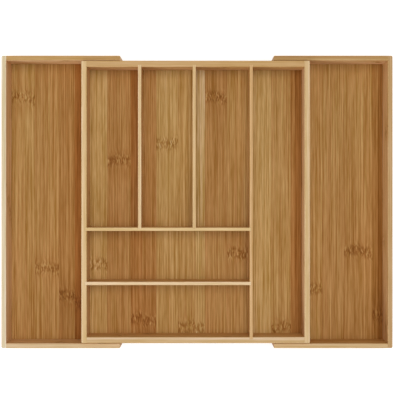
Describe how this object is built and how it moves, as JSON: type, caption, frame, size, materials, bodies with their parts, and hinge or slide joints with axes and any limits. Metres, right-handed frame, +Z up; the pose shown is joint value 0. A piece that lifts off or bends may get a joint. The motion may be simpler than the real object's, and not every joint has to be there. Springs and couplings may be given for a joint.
{
  "type": "expanding cutlery tray",
  "caption": "Bamboo cutlery tray with a slotted centre tray and a wing that slides out of each side to fill a drawer.",
  "frame": {"origin": "on the supporting surface, under the middle of the centre tray", "axes": "+X across the tray towards the right wing, +Y from the front (the two cross slots) to the back, +Z up"},
  "size_m": [0.575, 0.43, 0.065],
  "materials": {
    "centre_wall_bamboo": "satin clear lacquer on pale bamboo",
    "wing_wall_bamboo": "satin clear lacquer on pale bamboo",
    "divider_bamboo": "satin clear lacquer on pale bamboo",
    "floor_bamboo": "satin clear lacquer on caramel bamboo strips",
    "runner_bamboo": "bare bamboo"
  },
  "bodies": {
    "centre_tray": {"centre_left_wall": "centre_wall_bamboo", "centre_right_wall": "centre_wall_bamboo", "centre_back_wall": "centre_wall_bamboo", "centre_front_wall": "centre_wall_bamboo", "centre_floor": "floor_bamboo", "long_divider": "divider_bamboo", "cross_divider_back": "divider_bamboo", "cross_divider_front": "divider_bamboo", "short_divider_left": "divider_bamboo", "short_divider_right": "divider_bamboo"},
    "left_wing": {"left_wing_side_wall": "wing_wall_bamboo", "left_wing_back_wall": "wing_wall_bamboo", "left_wing_front_wall": "wing_wall_bamboo", "left_wing_floor": "floor_bamboo", "left_wing_back_runner": "runner_bamboo", "left_wing_front_runner": "runner_bamboo"},
    "right_wing": {"right_wing_side_wall": "wing_wall_bamboo", "right_wing_back_wall": "wing_wall_bamboo", "right_wing_front_wall": "wing_wall_bamboo", "right_wing_floor": "floor_bamboo", "right_wing_back_runner": "runner_bamboo", "right_wing_front_runner": "runner_bamboo"}
  },
  "joints": [
    {"name": "left_wing_slide", "type": "slide", "parent": "centre_tray", "child": "left_wing", "axis": [-1, 0, 0], "range_m": [-0.1105, 0.0045]},
    {"name": "right_wing_slide", "type": "slide", "parent": "centre_tray", "child": "right_wing", "axis": [1, 0, 0], "range_m": [-0.1145, 0.0005]}
  ]
}
